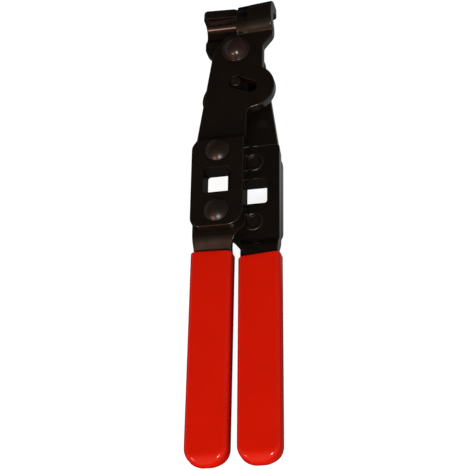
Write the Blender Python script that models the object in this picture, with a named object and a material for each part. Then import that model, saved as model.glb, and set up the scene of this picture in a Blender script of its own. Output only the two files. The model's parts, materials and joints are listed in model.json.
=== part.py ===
"""Hose clamp pliers with two square drive holes, in metres, lying flat with +Z up.

The jaws point along +Y and the handles along -Y. The two halves are the same
parts, one of them turned half a turn about the long axis. Each half is a jaw
plate, a handle bar riveted to its inner side, and a dipped grip. Half a turn
about +Y carries the upper half onto the lower half, so every mesh is drawn
once, in the frame of the upper half, whose origin is on the pivot axis midway
between the two jaw plates.
"""

import math

import bmesh
import bpy
from mathutils import Vector

# Sheet, fits and overall reach
SHEET = 0.0049
HEAD_GAP = 0.0049
SEAT_GAP = 0.0003
CUT_OVERRUN = 0.002
SAME_POINT = 0.00003
JAW_REACH = 0.0272
HANDLE_REACH = 0.2062

# Jaw: a hook rolled over from the plate, with its lip across the middle plane
JAW_OUTER_X = 0.018
JAW_MEETING_GAP = 0.0004
JAW_CROWN_RISE = 0.0049
JAW_BEND_RADIUS = 0.0048
JAW_CROWN_UPSET = 0.0017
JAW_FOLD_RADIUS = 0.003
JAW_LIP_DROP = 0.0066
JAW_SLANT = 0.05
JAW_SHOULDER_Y = 0.0070
JAW_SHOULDER_RADIUS = 0.0055
THUMB_NOTCH_WIDTH = 0.0063
THUMB_NOTCH_DEPTH = 0.0011
THUMB_NOTCH_START = math.radians(38)
THUMB_NOTCH_END = math.radians(106)

# Head of the jaw plate: notch, lobe and the corner round the pivot
NECK_X = 0.0130
NECK_TOP_Y = 0.0008
NECK_FILLET = 0.0025
LOBE_X = 0.0071
LOBE_Y = -0.02175
LOBE_RADIUS = 0.0117
LOBE_UPPER_FILLET = 0.0012
LOBE_LOWER_FILLET = 0.0035
HEAD_TOP_Y = 0.0086
HEAD_TOP_X = -0.0045
HEAD_TOP_RADIUS = 0.004
HEAD_SIDE_X = -0.0115
HEAD_SIDE_Y = -0.0005
HEAD_SIDE_RADIUS = 0.006

# Body of the jaw plate, which steps out over the handle bar
PLATE_INNER_X = 0.0054
PLATE_OUTER_X = -0.0194
PLATE_END_Y = -0.0974
PLATE_OUTER_CORNER_RADIUS = 0.005
PLATE_INNER_CORNER_RADIUS = 0.0075
TAPER_END_X = -0.0190
TAPER_END_Y = -0.0525
SHOULDER_END_Y = -0.0572
SHOULDER_RADIUS = 0.008
STEP_START_Y = -0.0493
STEP_LENGTH = 0.0035

# Square drive hole and handle rivets
DRIVE_SQUARE = 0.0127
DRIVE_PLAY = 0.0002
DRIVE_CORNER_RADIUS = 0.0013
RIVET_X = -0.0070
FRONT_RIVET_Y = -0.0580
RIVET_SPACING = 0.0312
RIVET_SHANK_RADIUS = 0.003
RIVET_HEAD_RADIUS = 0.0058
RIVET_HEAD_HEIGHT = 0.0028
RIVET_TAIL_RADIUS = 0.0050
RIVET_TAIL_DEPTH = 0.0016
RIVET_RING_RADIUS = 0.0043
RIVET_RING_RISE = 0.0005
RIVET_DISH_RADIUS = 0.0033
RIVET_DISH_DEPTH = 0.0005

# Pivot rivet, its spacer, and the stop pin in its two slots
PIVOT_SHANK_RADIUS = 0.004
PIVOT_HEAD_RADIUS = 0.0070
PIVOT_HEAD_HEIGHT = 0.0049
SPACER_RADIUS = 0.0085
SLOT_START_Y = -0.0186
SLOT_WIDTH = 0.0065
PIN_RADIUS = 0.0025
PIN_COLLAR_RADIUS = 0.0048
PIN_PROUD = 0.0008

# Handle bar: cranked to the middle plane below the plates
BAR_END_GAP = 0.0006
BAR_INNER_X = -0.0021
BAR_TAPER = 0.0006
BAR_NECK_START_Y = -0.0969
BAR_NECK_END_Y = -0.1017
BAR_NECK_RADIUS = 0.003
CRANK_START_Y = -0.0980
CRANK_LENGTH = 0.0090
HANDLE_SPLAY = 0.0006
BAR_TIP_RADIUS = 0.0075

# Dipped grips, each with its rim where the dip stopped at its outer and its inner side
UPPER_RIM = (-0.1056, -0.1062)
LOWER_RIM = (-0.1084, -0.1100)
GRIP_OUTER_COAT = 0.0015
GRIP_INNER_COAT = 0.0008
GRIP_FACE_COAT = 0.00245
GRIP_CORNER_RADIUS = 0.0028
GRIP_RIM_RADIUS = 0.0008
GRIP_END_RADIUS = 0.0085
GRIP_END_BEVEL = 0.004
GRIP_END_WALL = 0.0025

# Smoothness of the curved outlines
ARC_STEP = math.radians(9)
ROUND_SEGMENTS = 32
DOME_STEPS = 6
CRANK_STEPS = 10
GRIP_CORNER_STEPS = 4
GRIP_RIM_STEPS = 2
GRIP_END_STEPS = 6
SMOOTH_ANGLE = math.radians(35)

# Levels above the middle plane, in the frame of the upper half
INNER_FACE = HEAD_GAP / 2
HEAD_FACE = INNER_FACE + SHEET
RAISED_INNER_FACE = HEAD_FACE + SEAT_GAP
RAISED_FACE = RAISED_INNER_FACE + SHEET
JAW_OUTER_RADIUS = JAW_BEND_RADIUS + SHEET
JAW_BEND_Y = JAW_REACH - JAW_OUTER_RADIUS
JAW_BEND_Z = HEAD_FACE + JAW_CROWN_RISE - JAW_OUTER_RADIUS
LIP_END = JAW_BEND_Z - JAW_LIP_DROP
DRIVE_HOLE = DRIVE_SQUARE + DRIVE_PLAY
REAR_RIVET_Y = FRONT_RIVET_Y - RIVET_SPACING
DRIVE_Y = (FRONT_RIVET_Y + REAR_RIVET_Y) / 2
BAR_TOP_Y = STEP_START_Y - BAR_END_GAP
BAR_UPPER_TOP_Y = BAR_TOP_Y - STEP_LENGTH * SHEET / (SHEET + SEAT_GAP)
BAR_END_Y = GRIP_END_WALL - HANDLE_REACH
GRIP_OUTER_X = PLATE_OUTER_X - GRIP_OUTER_COAT
GRIP_INNER_X = BAR_INNER_X + GRIP_INNER_COAT
GRIP_HALF_THICKNESS = SHEET / 2 + GRIP_FACE_COAT

# The pivot's place: the origin is under the middle of the closed pliers
PIVOT_Y = (HANDLE_REACH - JAW_REACH) / 2
PIVOT_Z = RAISED_FACE + SEAT_GAP + RIVET_HEAD_HEIGHT

BLACK_STEEL = ((0.012, 0.010, 0.008, 1), 0.32, 0.85)
DARK_RIVET = ((0.020, 0.017, 0.015, 1), 0.25, 0.9)
PLAIN_STEEL = ((0.35, 0.34, 0.32, 1), 0.35, 1.0)
RED_DIP = ((0.50, 0.012, 0.006, 1), 0.38, 0.0)


def clear_scene():
    """Removes every object, so that the part stands alone."""
    for thing in list(bpy.data.objects):
        bpy.data.objects.remove(thing, do_unlink=True)


def finish(name, look):
    """A Principled material from a colour, a roughness and a metallic value."""
    colour, roughness, metallic = look
    material = bpy.data.materials.new(name)
    material.use_nodes = True
    shader = material.node_tree.nodes["Principled BSDF"]
    shader.inputs["Base Color"].default_value = colour
    shader.inputs["Roughness"].default_value = roughness
    shader.inputs["Metallic"].default_value = metallic
    material.diffuse_color = colour
    return material


def arc(centre, radius, start, end):
    """Points on a circle from one angle to another, both included."""
    steps = max(2, math.ceil(abs(end - start) / ARC_STEP))
    angles = [start + (end - start) * step / steps for step in range(steps + 1)]
    return [(centre[0] + radius * math.cos(a), centre[1] + radius * math.sin(a)) for a in angles]


def corner_arc(before, corner, after, radius):
    """The arc that rounds one corner between its two neighbours."""
    tip = Vector(corner)
    back = (Vector(before) - tip).normalized()
    ahead = (Vector(after) - tip).normalized()
    half_angle = back.angle(ahead) / 2
    centre = tip + (back + ahead).normalized() * radius / math.sin(half_angle)
    reach = radius / math.tan(half_angle)
    first = tip + back * reach - centre
    last = tip + ahead * reach - centre
    start = math.atan2(first.y, first.x)
    sweep = math.remainder(math.atan2(last.y, last.x) - start, math.tau)
    return arc(centre, radius, start, start + sweep)


def rounded_chain(corners):
    """An open chain of points, where each (x, y, radius) corner is rounded."""
    points = [corners[0][:2]]
    for before, corner, after in zip(corners, corners[1:], corners[2:]):
        if corner[2]:
            points += corner_arc(before[:2], corner[:2], after[:2], corner[2])
        else:
            points.append(corner[:2])
    points.append(corners[-1][:2])
    return points


def rounded_outline(corners):
    """A closed outline with every corner rounded by its own radius."""
    wrapped = [corners[-1], *corners, corners[0]]
    return rounded_chain(wrapped)[1:-1]


def prism(bottom, top):
    """A closed mesh between two outlines of as many points each."""
    mesh = bmesh.new()
    low = [mesh.verts.new(point) for point in bottom]
    high = [mesh.verts.new(point) for point in top]
    mesh.faces.new(low)
    mesh.faces.new(high)
    for here in range(len(low)):
        there = (here + 1) % len(low)
        mesh.faces.new((low[here], low[there], high[there], high[here]))
    bmesh.ops.recalc_face_normals(mesh, faces=mesh.faces)
    return mesh


def upright(outline, low, high):
    """A prism over an outline in the plane of the plates."""
    return prism([(x, y, low) for x, y in outline], [(x, y, high) for x, y in outline])


def turned(profile, centre, segments=ROUND_SEGMENTS):
    """A round piece on an upright axis, from (radius, height) points bottom to top."""
    mesh = bmesh.new()
    rings = []
    for radius, height in profile:
        if radius:
            angles = [math.tau * step / segments for step in range(segments)]
            around = [(centre[0] + radius * math.cos(a), centre[1] + radius * math.sin(a)) for a in angles]
            ring = [mesh.verts.new((x, y, height)) for x, y in around]
        else:
            ring = [mesh.verts.new((centre[0], centre[1], height))]
        rings.append(ring)
    for lower, upper in zip(rings, rings[1:]):
        bridge(mesh, lower, upper)
    for ring in (rings[0], rings[-1]):
        if len(ring) > 1:
            mesh.faces.new(ring)
    bmesh.ops.recalc_face_normals(mesh, faces=mesh.faces)
    return mesh


def bridge(mesh, lower, upper):
    """Faces between two rings, either of which may be a single point."""
    count = max(len(lower), len(upper))
    for here in range(count):
        there = (here + 1) % count
        around = [lower[here % len(lower)], lower[there % len(lower)],
                  upper[there % len(upper)], upper[here % len(upper)]]
        mesh.faces.new(list(dict.fromkeys(around)))


def joined(pieces):
    """One mesh that holds several separate closed ones."""
    whole = bmesh.new()
    for piece in pieces:
        part = bpy.data.meshes.new("piece")
        piece.to_mesh(part)
        piece.free()
        whole.from_mesh(part)
        bpy.data.meshes.remove(part)
    return whole


def scratch_object(name, mesh):
    """An object in the scene that holds a mesh for a Boolean."""
    data = bpy.data.meshes.new(name)
    mesh.to_mesh(data)
    mesh.free()
    thing = bpy.data.objects.new(name, data)
    bpy.context.collection.objects.link(thing)
    return thing


def carved(name, blank, operations):
    """The mesh that is left of a blank after some Boolean operations."""
    body = scratch_object(name, blank)
    tools = []
    for operation, mesh in operations:
        tool = scratch_object(name + "_tool", mesh)
        tools.append(tool)
        modifier = body.modifiers.new(operation.title(), "BOOLEAN")
        modifier.operation = operation
        modifier.object = tool
        modifier.solver = "EXACT"
    bpy.context.view_layer.update()
    evaluated = body.evaluated_get(bpy.context.evaluated_depsgraph_get())
    data = bpy.data.meshes.new_from_object(evaluated)
    for thing in (*tools, body):
        bpy.data.objects.remove(thing, do_unlink=True)
    data.name = name
    return data


def plain(name, mesh):
    """The mesh data of a piece that needs no cutting."""
    data = bpy.data.meshes.new(name)
    mesh.to_mesh(data)
    mesh.free()
    return data


def place(name, data, material, parent, location=(0, 0, 0)):
    """A named object with its mesh, material, parent and place in that parent, shaded smooth."""
    if not data.materials:
        data.materials.append(material)
    data.shade_smooth()
    data.set_sharp_from_angle(angle=SMOOTH_ANGLE)
    thing = bpy.data.objects.new(name, data)
    bpy.context.collection.objects.link(thing)
    thing.parent = parent
    thing.location = location
    return thing


def half_frame(name, turn):
    """The empty on the pivot axis that carries one half of the pliers."""
    frame = bpy.data.objects.new(name, None)
    bpy.context.collection.objects.link(frame)
    frame.location = (0, PIVOT_Y, PIVOT_Z)
    frame.rotation_euler = (0, turn, 0)
    return frame


def dome(radius, height, base):
    """(radius, height) points of a low dome, from its rim up to its top."""
    sphere = (radius ** 2 + height ** 2) / (2 * height)
    rim_angle = math.asin(radius / sphere)
    angles = [rim_angle * (DOME_STEPS - step) / DOME_STEPS for step in range(DOME_STEPS + 1)]
    points = [(sphere * math.sin(a), base + height - sphere * (1 - math.cos(a))) for a in angles]
    points[-1] = (0, base + height)
    return points


def plate_side_profile(x):
    """The bent sheet seen from the side, as (y, z) points, where the plate is cut at x.

    The press upsets the sheet over the crown, so the hollow of the hook is shallower than
    its outer arc is high.
    """
    slant = (x - JAW_OUTER_X) * JAW_SLANT
    bend = (JAW_BEND_Y + slant, JAW_BEND_Z)
    foot_angle = math.pi - math.asin((HEAD_FACE - JAW_BEND_Z) / JAW_OUTER_RADIUS)
    outer = [(bend[0] + JAW_OUTER_RADIUS, LIP_END)]
    outer += arc(bend, JAW_OUTER_RADIUS, 0, foot_angle)
    hollow = (bend[0], JAW_BEND_Z - JAW_CROWN_UPSET)
    reach = JAW_FOLD_RADIUS + JAW_BEND_RADIUS
    meeting_angle = math.asin((INNER_FACE + JAW_FOLD_RADIUS - hollow[1]) / reach)
    fold = (bend[0] - reach * math.cos(meeting_angle), INNER_FACE + JAW_FOLD_RADIUS)
    inner = arc(fold, JAW_FOLD_RADIUS, -math.pi / 2, -meeting_angle)[:-1]
    inner += arc(hollow, JAW_BEND_RADIUS, math.pi - meeting_angle, 0)
    inner += [(bend[0] + JAW_BEND_RADIUS, LIP_END)]
    step_end = STEP_START_Y - STEP_LENGTH
    end = PLATE_END_Y - CUT_OVERRUN
    outer += [(STEP_START_Y, HEAD_FACE), (step_end, RAISED_FACE), (end, RAISED_FACE)]
    lower = [(end, RAISED_INNER_FACE), (step_end, RAISED_INNER_FACE), (STEP_START_Y, INNER_FACE)]
    return outer + lower + inner


def plate_outline():
    """The jaw plate seen from above, before its holes."""
    upper_x = NECK_X + LOBE_UPPER_FILLET
    upper_y = LOBE_Y + math.sqrt((LOBE_RADIUS + LOBE_UPPER_FILLET) ** 2 - (upper_x - LOBE_X) ** 2)
    lower_x = PLATE_INNER_X + LOBE_LOWER_FILLET
    lower_y = LOBE_Y - math.sqrt((LOBE_RADIUS + LOBE_LOWER_FILLET) ** 2 - (lower_x - LOBE_X) ** 2)
    upper_angle = math.atan2(upper_y - LOBE_Y, upper_x - LOBE_X)
    lower_angle = math.atan2(lower_y - LOBE_Y, lower_x - LOBE_X)
    jaw_top = JAW_REACH + CUT_OVERRUN
    meeting_x = JAW_MEETING_GAP / 2
    outline = rounded_chain([
        (meeting_x, jaw_top),
        (JAW_OUTER_X, jaw_top, 0),
        (JAW_OUTER_X, JAW_SHOULDER_Y, JAW_SHOULDER_RADIUS),
        (NECK_X, NECK_TOP_Y, NECK_FILLET),
        (NECK_X, upper_y),
    ])
    outline += arc((upper_x, upper_y), LOBE_UPPER_FILLET, math.pi, math.pi + upper_angle)
    outline += arc((LOBE_X, LOBE_Y), LOBE_RADIUS, upper_angle, lower_angle)
    outline += arc((lower_x, lower_y), LOBE_LOWER_FILLET, math.pi + lower_angle, math.pi)
    outline += rounded_chain([
        (PLATE_INNER_X, lower_y),
        (PLATE_INNER_X, PLATE_END_Y, PLATE_INNER_CORNER_RADIUS),
        (PLATE_OUTER_X, PLATE_END_Y, PLATE_OUTER_CORNER_RADIUS),
        (PLATE_OUTER_X, SHOULDER_END_Y, SHOULDER_RADIUS),
        (TAPER_END_X, TAPER_END_Y, SHOULDER_RADIUS),
        (HEAD_SIDE_X, HEAD_SIDE_Y, HEAD_SIDE_RADIUS),
        (HEAD_TOP_X, HEAD_TOP_Y, HEAD_TOP_RADIUS),
        (meeting_x, HEAD_TOP_Y),
    ])
    return without_repeats(outline)


def without_repeats(points):
    """The outline without points that lie on the one before."""
    kept = []
    for point in points:
        if not kept or math.dist(point, kept[-1]) > SAME_POINT:
            kept.append(point)
    return kept


def square_outline(centre, side, radius):
    """A square with rounded corners."""
    reach = side / 2
    turns = [(1, 1), (-1, 1), (-1, -1), (1, -1)]
    return rounded_outline([(centre[0] + reach * x, centre[1] + reach * y, radius) for x, y in turns])


def slot_outline():
    """The slot for the stop pin, from the middle of the tool to the lobe's centre."""
    start = Vector((0, SLOT_START_Y))
    end = Vector((LOBE_X, LOBE_Y))
    along = math.atan2(end.y - start.y, end.x - start.x)
    quarter = math.pi / 2
    outline = arc(end, SLOT_WIDTH / 2, along - quarter, along + quarter)
    outline += arc(start, SLOT_WIDTH / 2, along + quarter, along + 3 * quarter)
    return outline


def thumb_notch():
    """The shallow step over the roll of the jaw, open towards its meeting edge."""
    low_x = JAW_MEETING_GAP / 2
    high_x = low_x + THUMB_NOTCH_WIDTH
    middle_x = (low_x + high_x) / 2
    bend = (JAW_BEND_Y + (middle_x - JAW_OUTER_X) * JAW_SLANT, JAW_BEND_Z)
    floor = arc(bend, JAW_OUTER_RADIUS - THUMB_NOTCH_DEPTH, THUMB_NOTCH_START, THUMB_NOTCH_END)
    roof = arc(bend, JAW_OUTER_RADIUS + CUT_OVERRUN, THUMB_NOTCH_END, THUMB_NOTCH_START)
    side = floor + roof
    left = [(low_x - CUT_OVERRUN, y, z) for y, z in side]
    right = [(high_x, y, z) for y, z in side]
    return prism(left, right)


def jaw_plate_mesh():
    """The stamped jaw plate with its rolled jaw, holes and slot."""
    left = PLATE_OUTER_X - CUT_OVERRUN
    right = LOBE_X + LOBE_RADIUS + CUT_OVERRUN
    sheet = prism([(left, y, z) for y, z in plate_side_profile(left)],
                  [(right, y, z) for y, z in plate_side_profile(right)])
    low = LIP_END - CUT_OVERRUN
    high = RAISED_FACE + CUT_OVERRUN
    outline = upright(plate_outline(), low, high)
    bottom = INNER_FACE - CUT_OVERRUN
    drive = square_outline((RIVET_X, DRIVE_Y), DRIVE_HOLE, DRIVE_CORNER_RADIUS)
    round_holes = [(0, 0, PIVOT_SHANK_RADIUS)]
    round_holes += [(RIVET_X, y, RIVET_SHANK_RADIUS) for y in (FRONT_RIVET_Y, REAR_RIVET_Y)]
    cutters = [turned([(radius + SEAT_GAP, bottom), (radius + SEAT_GAP, high)], (x, y))
               for x, y, radius in round_holes]
    cutters += [upright(drive, bottom, high), upright(slot_outline(), bottom, high), thumb_notch()]
    return carved("jaw_plate", sheet, [("INTERSECT", outline), ("DIFFERENCE", joined(cutters))])


def crank_drop(y):
    """How far the handle bar has sunk towards the middle plane at y."""
    share = min(max((CRANK_START_Y - y) / CRANK_LENGTH, 0), 1)
    return (INNER_FACE + SHEET / 2) * (1 - math.cos(math.pi * share)) / 2


def bar_side_profile():
    """The cranked bar seen from the side, as (y, z) points."""
    stations = [CRANK_START_Y - CRANK_LENGTH * step / CRANK_STEPS for step in range(CRANK_STEPS + 1)]
    stations.append(BAR_END_Y - CUT_OVERRUN)
    upper = [(y, HEAD_FACE - crank_drop(y)) for y in (BAR_UPPER_TOP_Y, *stations)]
    lower = [(y, INNER_FACE - crank_drop(y)) for y in (BAR_TOP_Y, *stations)]
    return upper + lower[::-1]


def bar_outline(extra):
    """The handle bar seen from above, grown by a margin all round."""
    top = BAR_TOP_Y + CUT_OVERRUN
    end = BAR_END_Y - extra
    tip = BAR_TIP_RADIUS + extra
    return rounded_outline([
        (PLATE_INNER_X + extra, top, 0),
        (PLATE_OUTER_X - extra, top, 0),
        (PLATE_OUTER_X - extra, CRANK_START_Y, SHOULDER_RADIUS),
        (PLATE_OUTER_X - HANDLE_SPLAY - extra, end, tip),
        (BAR_INNER_X - BAR_TAPER - HANDLE_SPLAY + extra, end, tip),
        (BAR_INNER_X + extra, BAR_NECK_END_Y, BAR_NECK_RADIUS),
        (PLATE_INNER_X + extra, BAR_NECK_START_Y, BAR_NECK_RADIUS),
    ])


def rivet_profile(margin):
    """(radius, height) points of a handle rivet's shank and dished ring tail, grown by a margin."""
    return [
        (RIVET_TAIL_RADIUS + margin, INNER_FACE),
        (RIVET_SHANK_RADIUS + margin, INNER_FACE + RIVET_TAIL_DEPTH),
        (RIVET_SHANK_RADIUS + margin, RAISED_FACE + SEAT_GAP),
    ]


def handle_bar_mesh():
    """The cranked handle bar with its square hole and countersunk rivet holes."""
    left = PLATE_OUTER_X - CUT_OVERRUN
    right = PLATE_INNER_X + CUT_OVERRUN
    profile = bar_side_profile()
    sheet = prism([(left, y, z) for y, z in profile], [(right, y, z) for y, z in profile])
    low = -SHEET
    high = HEAD_FACE + CUT_OVERRUN
    outline = upright(bar_outline(0), low, high)
    drive = square_outline((RIVET_X, DRIVE_Y), DRIVE_HOLE, DRIVE_CORNER_RADIUS)
    cutters = [upright(drive, low, high)]
    for y in (FRONT_RIVET_Y, REAR_RIVET_Y):
        grown = rivet_profile(SEAT_GAP)
        mouth = (grown[0][0], grown[0][1] - CUT_OVERRUN)
        cutters.append(turned([mouth, *grown], (RIVET_X, y)))
    return carved("handle_bar", sheet, [("INTERSECT", outline), ("DIFFERENCE", joined(cutters))])


def grip_ring(y, inset_x, inset_z, slant):
    """One cross-section of the grip, drawn in from its full size, as points round its edge."""
    splay = HANDLE_SPLAY * (CRANK_START_Y - y) / (CRANK_START_Y + HANDLE_REACH)
    centre_x = (GRIP_OUTER_X + GRIP_INNER_X) / 2
    reach_x = (GRIP_INNER_X - GRIP_OUTER_X) / 2 - inset_x
    reach_z = GRIP_HALF_THICKNESS - inset_z
    radius = min(GRIP_CORNER_RADIUS, reach_x, reach_z)
    points = []
    for quarter, (side_x, side_z) in enumerate([(1, 1), (-1, 1), (-1, -1), (1, -1)]):
        corner_x = side_x * (reach_x - radius)
        corner_z = side_z * (reach_z - radius)
        for step in range(GRIP_CORNER_STEPS + 1):
            angle = math.pi / 2 * (quarter + step / GRIP_CORNER_STEPS)
            x = corner_x + radius * math.cos(angle)
            points.append((centre_x - splay + x, y + slant * x, corner_z + radius * math.sin(angle)))
    return points


def round_inset(depth, radius):
    """How far a rounded end is drawn in at a depth from its tip."""
    rise = max(radius - depth, 0)
    return radius - math.sqrt(radius ** 2 - rise ** 2)


def grip_mesh(rim):
    """The dipped grip: a rounded sleeve with a closed end and a pocket for the bar."""
    outer_y, inner_y = rim
    slant = (inner_y - outer_y) / (GRIP_INNER_X - GRIP_OUTER_X)
    rim_angles = [math.pi / 2 * step / GRIP_RIM_STEPS for step in range(GRIP_RIM_STEPS + 1)]
    end_angles = [math.pi / 2 * step / GRIP_END_STEPS for step in range(GRIP_END_STEPS + 1)]
    stations = []
    for angle in rim_angles:
        inset = GRIP_RIM_RADIUS * (1 - math.sin(angle))
        depth = GRIP_RIM_RADIUS * (1 - math.cos(angle))
        stations.append(((outer_y + inner_y) / 2 - depth, inset, inset, slant))
    for angle in end_angles:
        depth = GRIP_END_RADIUS * (1 - math.sin(angle))
        insets = round_inset(depth, GRIP_END_RADIUS), round_inset(depth, GRIP_END_BEVEL)
        stations.append((depth - HANDLE_REACH, *insets, 0))
    mesh = bmesh.new()
    rings = [[mesh.verts.new(point) for point in grip_ring(*station)] for station in stations]
    for lower, upper in zip(rings, rings[1:]):
        bridge(mesh, lower, upper)
    mesh.faces.new(rings[0])
    mesh.faces.new(rings[-1])
    bmesh.ops.recalc_face_normals(mesh, faces=mesh.faces)
    bar_half = SHEET / 2 + SEAT_GAP
    pocket = upright(bar_outline(SEAT_GAP), -bar_half, bar_half)
    return carved("grip", mesh, [("DIFFERENCE", pocket)])


def handle_rivet_mesh(y):
    """A handle rivet: domed head outside, shank, and a tail set into the bar as a dished ring."""
    under_head = RAISED_FACE + SEAT_GAP
    crest = INNER_FACE - RIVET_RING_RISE
    dish = INNER_FACE + RIVET_DISH_DEPTH
    profile = [(0, dish), (RIVET_DISH_RADIUS, dish), (RIVET_RING_RADIUS, crest)]
    profile += [((RIVET_RING_RADIUS + RIVET_TAIL_RADIUS) / 2, crest)] + rivet_profile(0)
    profile += dome(RIVET_HEAD_RADIUS, RIVET_HEAD_HEIGHT, under_head)
    return turned(profile, (RIVET_X, y))


def pivot_rivet_mesh():
    """The main rivet through both jaw plates, with a domed head at either end."""
    under_head = HEAD_FACE + SEAT_GAP
    upper = dome(PIVOT_HEAD_RADIUS, PIVOT_HEAD_HEIGHT, under_head)
    upper.insert(0, (PIVOT_SHANK_RADIUS, under_head))
    lower = [(radius, -height) for radius, height in reversed(upper)]
    return turned(lower + upper, (0, 0))


def spacer_mesh():
    """The ring that keeps the two jaw plates apart at the pivot."""
    half = INNER_FACE - SEAT_GAP
    ring = turned([(SPACER_RADIUS, -half), (SPACER_RADIUS, half)], (0, 0))
    reach = half + CUT_OVERRUN
    bore_radius = PIVOT_SHANK_RADIUS + SEAT_GAP
    bore = turned([(bore_radius, -reach), (bore_radius, reach)], (0, 0))
    return carved("pivot_spacer", ring, [("DIFFERENCE", bore)])


def stop_pin_mesh():
    """The stop pin: a collar between the plates and a stub in each slot."""
    collar = INNER_FACE - SEAT_GAP
    tip = HEAD_FACE + PIN_PROUD
    return turned([(PIN_RADIUS, -tip), (PIN_RADIUS, -collar), (PIN_COLLAR_RADIUS, -collar),
                   (PIN_COLLAR_RADIUS, collar), (PIN_RADIUS, collar), (PIN_RADIUS, tip)], (0, 0))


def build():
    """Models every piece and places both halves on the pivot."""
    clear_scene()
    upper = half_frame("upper_half_frame", 0)
    lower = half_frame("lower_half_frame", math.pi)
    steel = finish("black_steel", BLACK_STEEL)
    rivet_steel = finish("dark_rivet_steel", DARK_RIVET)
    plain_steel = finish("plain_steel", PLAIN_STEEL)
    rubber = finish("red_dip", RED_DIP)
    shared = [
        ("jaw_plate", jaw_plate_mesh(), steel),
        ("handle_bar", handle_bar_mesh(), steel),
        ("front_rivet", plain("front_rivet", handle_rivet_mesh(FRONT_RIVET_Y)), rivet_steel),
        ("rear_rivet", plain("rear_rivet", handle_rivet_mesh(REAR_RIVET_Y)), rivet_steel),
    ]
    for side, frame, rim in (("upper", upper, UPPER_RIM), ("lower", lower, LOWER_RIM)):
        for name, data, material in shared:
            place(side + "_" + name, data, material, frame)
        place(side + "_grip", grip_mesh(rim), rubber, frame)
    place("pivot_rivet", plain("pivot_rivet", pivot_rivet_mesh()), rivet_steel, lower)
    place("pivot_spacer", spacer_mesh(), plain_steel, lower)
    place("stop_pin", plain("stop_pin", stop_pin_mesh()), plain_steel, lower, (0, SLOT_START_Y, 0))


build()
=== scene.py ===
"""Looks of the hose clamp pliers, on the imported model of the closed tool.

Sizes are millimetres in the frame of the upper half: the origin is on the pivot axis
midway between the two jaw plates, +Y points at the jaws and +Z up. The lower half is
the same set of pieces after half a turn about +Y. Outline corners are written
(x, y, corner radius), and an edge's rounds as (outer face, inner face).
"""

import json
import math

import bpy
import numpy as np
from mathutils import Matrix, Vector
from mathutils.geometry import delaunay_2d_cdt


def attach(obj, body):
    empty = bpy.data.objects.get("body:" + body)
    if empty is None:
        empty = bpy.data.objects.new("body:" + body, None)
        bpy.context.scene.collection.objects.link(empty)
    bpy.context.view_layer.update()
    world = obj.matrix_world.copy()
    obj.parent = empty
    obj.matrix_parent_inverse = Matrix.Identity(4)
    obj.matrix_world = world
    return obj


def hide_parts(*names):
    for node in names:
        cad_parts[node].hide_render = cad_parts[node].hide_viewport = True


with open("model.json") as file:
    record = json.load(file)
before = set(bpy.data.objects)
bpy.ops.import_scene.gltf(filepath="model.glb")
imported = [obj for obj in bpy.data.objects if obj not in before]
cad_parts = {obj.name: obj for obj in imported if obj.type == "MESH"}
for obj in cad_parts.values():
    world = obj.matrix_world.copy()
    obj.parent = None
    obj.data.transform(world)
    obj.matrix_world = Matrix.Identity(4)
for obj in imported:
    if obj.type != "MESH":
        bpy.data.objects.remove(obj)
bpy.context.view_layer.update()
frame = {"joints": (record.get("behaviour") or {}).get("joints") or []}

# Jaw plates: two alike, punched from 4.9 mm steel strip, rolled over at the jaw and
# stepped out over the handle bar in a press tool, then blackened in a hot oxide bath
# and oiled. Punching leaves the outer edges rounder than the inner ones.

MM = 0.001
PIVOT = np.array(next(joint["pos_m"] for joint in frame["joints"] if joint["name"] == "pivot"))
HALF_TURNS = {"upper": np.diag([1, 1, 1]), "lower": np.diag([-1, 1, -1])}

SHEET = 4.9
INNER_FACE = 2.45
HEAD_FACE = INNER_FACE + SHEET
RIVETED_SEAM = 0.05
LAP_GAP = 0.3
RAISED_FACE = HEAD_FACE + LAP_GAP + SHEET
EDGE_ROUND = 0.65
BURR_ROUND = 0.35
PIERCED_ROUNDS = (0.35, 0.25)
DRIVE_ROUNDS = (0.15, 0.12)
ROUND_POINTS = 6

JAW_REACH = 27.2
JAW_OUTER_X = 18.0
JAW_MEETING_X = 0.2
JAW_CROWN_RISE = 4.9
JAW_BEND_RADIUS = 4.8
JAW_CROWN_UPSET = 1.7
JAW_OUTER_RADIUS = JAW_BEND_RADIUS + SHEET
JAW_BEND_Y = JAW_REACH - JAW_OUTER_RADIUS
JAW_BEND_Z = HEAD_FACE + JAW_CROWN_RISE - JAW_OUTER_RADIUS
JAW_LIP_DROP = 6.6
JAW_SLANT = 0.05
JAW_FOOT_FILLET = 1.2
JAW_FOLD_RADIUS = 3.0
JAW_CORNER = 2.6
JAW_BACK_Y = 8.6
JAW_BACK_CORNER = 0.5
JAW_HEEL = (JAW_OUTER_X, 7.0, 5.5)
ROLL_START = 8.0
ROLL_MATCH = math.radians(125)

JAW_CROWN_TILT = 0.06
GROOVE_END_X = 6.5
GROOVE_DEPTH = 1.1
GROOVE_TURNS = (math.radians(38), math.radians(106))
GROOVE_FLANK = 0.8
GROOVE_CLEARANCE = 1.3 * GROOVE_FLANK
GROOVE_RUN_OUT = 1.4
# Painted shade in the thumb groove: how far it is shifted along the run, where it grows across x, and its least
# share.
PAINTED_SHADE_SHIFT = 2.2
PAINTED_SHADE_FLANK = (2.5, 5.5)
PAINTED_SHADE_START = 0.5

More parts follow.
